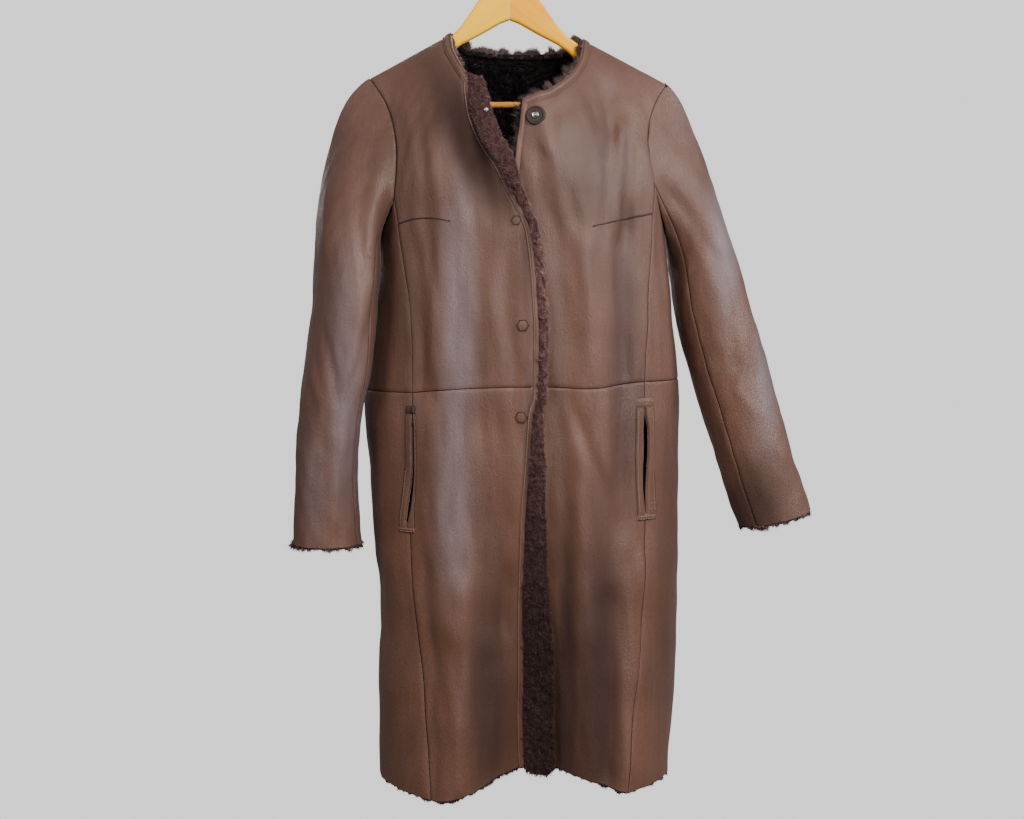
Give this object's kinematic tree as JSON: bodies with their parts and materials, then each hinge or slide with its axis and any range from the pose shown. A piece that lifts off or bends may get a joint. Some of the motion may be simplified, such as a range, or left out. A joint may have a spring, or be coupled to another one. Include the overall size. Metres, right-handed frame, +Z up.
{
  "type": "shearling coat on a hanger",
  "caption": "Knee-length collarless shearling coat with smooth leather outside, fur inside, welt pockets and an overlapping open front, hung on a wooden hanger.",
  "frame": {"origin": "inside top of the hanger's hook, where a rail bears", "axes": "+Z up, coat faces -Y, the wearer's left is +X"},
  "size_m": [0.6899, 0.2631, 1.1811],
  "materials": {
    "leather": "smooth dark brown shearling leather with a low sheen",
    "leather_binding": "the same leather turned over an edge",
    "leather_welt": "the same leather, stitched on",
    "fur": "dark brown clipped sheepskin fur",
    "hanger_wood": "lacquered golden wood",
    "hanger_bar_wood": "lacquered wood, a shade darker",
    "metal": "polished",
    "snap_dark": "dark glossy rim"
  },
  "bodies": {
    "root": {"back_lower": "leather", "back_upper": "leather", "front_lower_right": "leather", "front_upper_right": "leather", "side_lower_right": "leather", "side_upper_right": "leather", "sleeve_under_right": "leather", "sleeve_upper_right": "leather", "front_lower_left": "leather", "front_upper_left": "leather", "side_lower_left": "leather", "side_upper_left": "leather", "sleeve_under_left": "leather", "sleeve_upper_left": "leather", "snap_patch_1": "leather", "snap_patch_2": "leather", "snap_patch_3": "leather", "neck_band_back": "leather_binding", "front_band_right": "leather_binding", "neck_band_right": "leather_binding", "front_band_left": "leather_binding", "neck_band_left": "leather_binding", "pocket_tab_bottom_right": "leather_welt", "pocket_tab_top_right": "leather_welt", "pocket_welt_front_right": "leather_welt", "pocket_welt_rear_right": "leather_welt", "pocket_tab_bottom_left": "leather_welt", "pocket_tab_top_left": "leather_welt", "pocket_welt_front_left": "leather_welt", "pocket_welt_rear_left": "leather_welt", "fur_hem": "fur", "fur_neck_back": "fur", "fur_cuff_right": "fur", "fur_front_right": "fur", "fur_neck_right": "fur", "fur_cuff_left": "fur", "fur_front_left": "fur", "fur_neck_left": "fur", "hanger_arm_right": "hanger_wood", "hanger_arm_left": "hanger_wood", "hanger_bar": "hanger_bar_wood", "hanger_hook": "metal", "neck_snap_centre": "metal", "neck_socket": "metal", "neck_snap_ring": "snap_dark"}
  },
  "joints": []
}
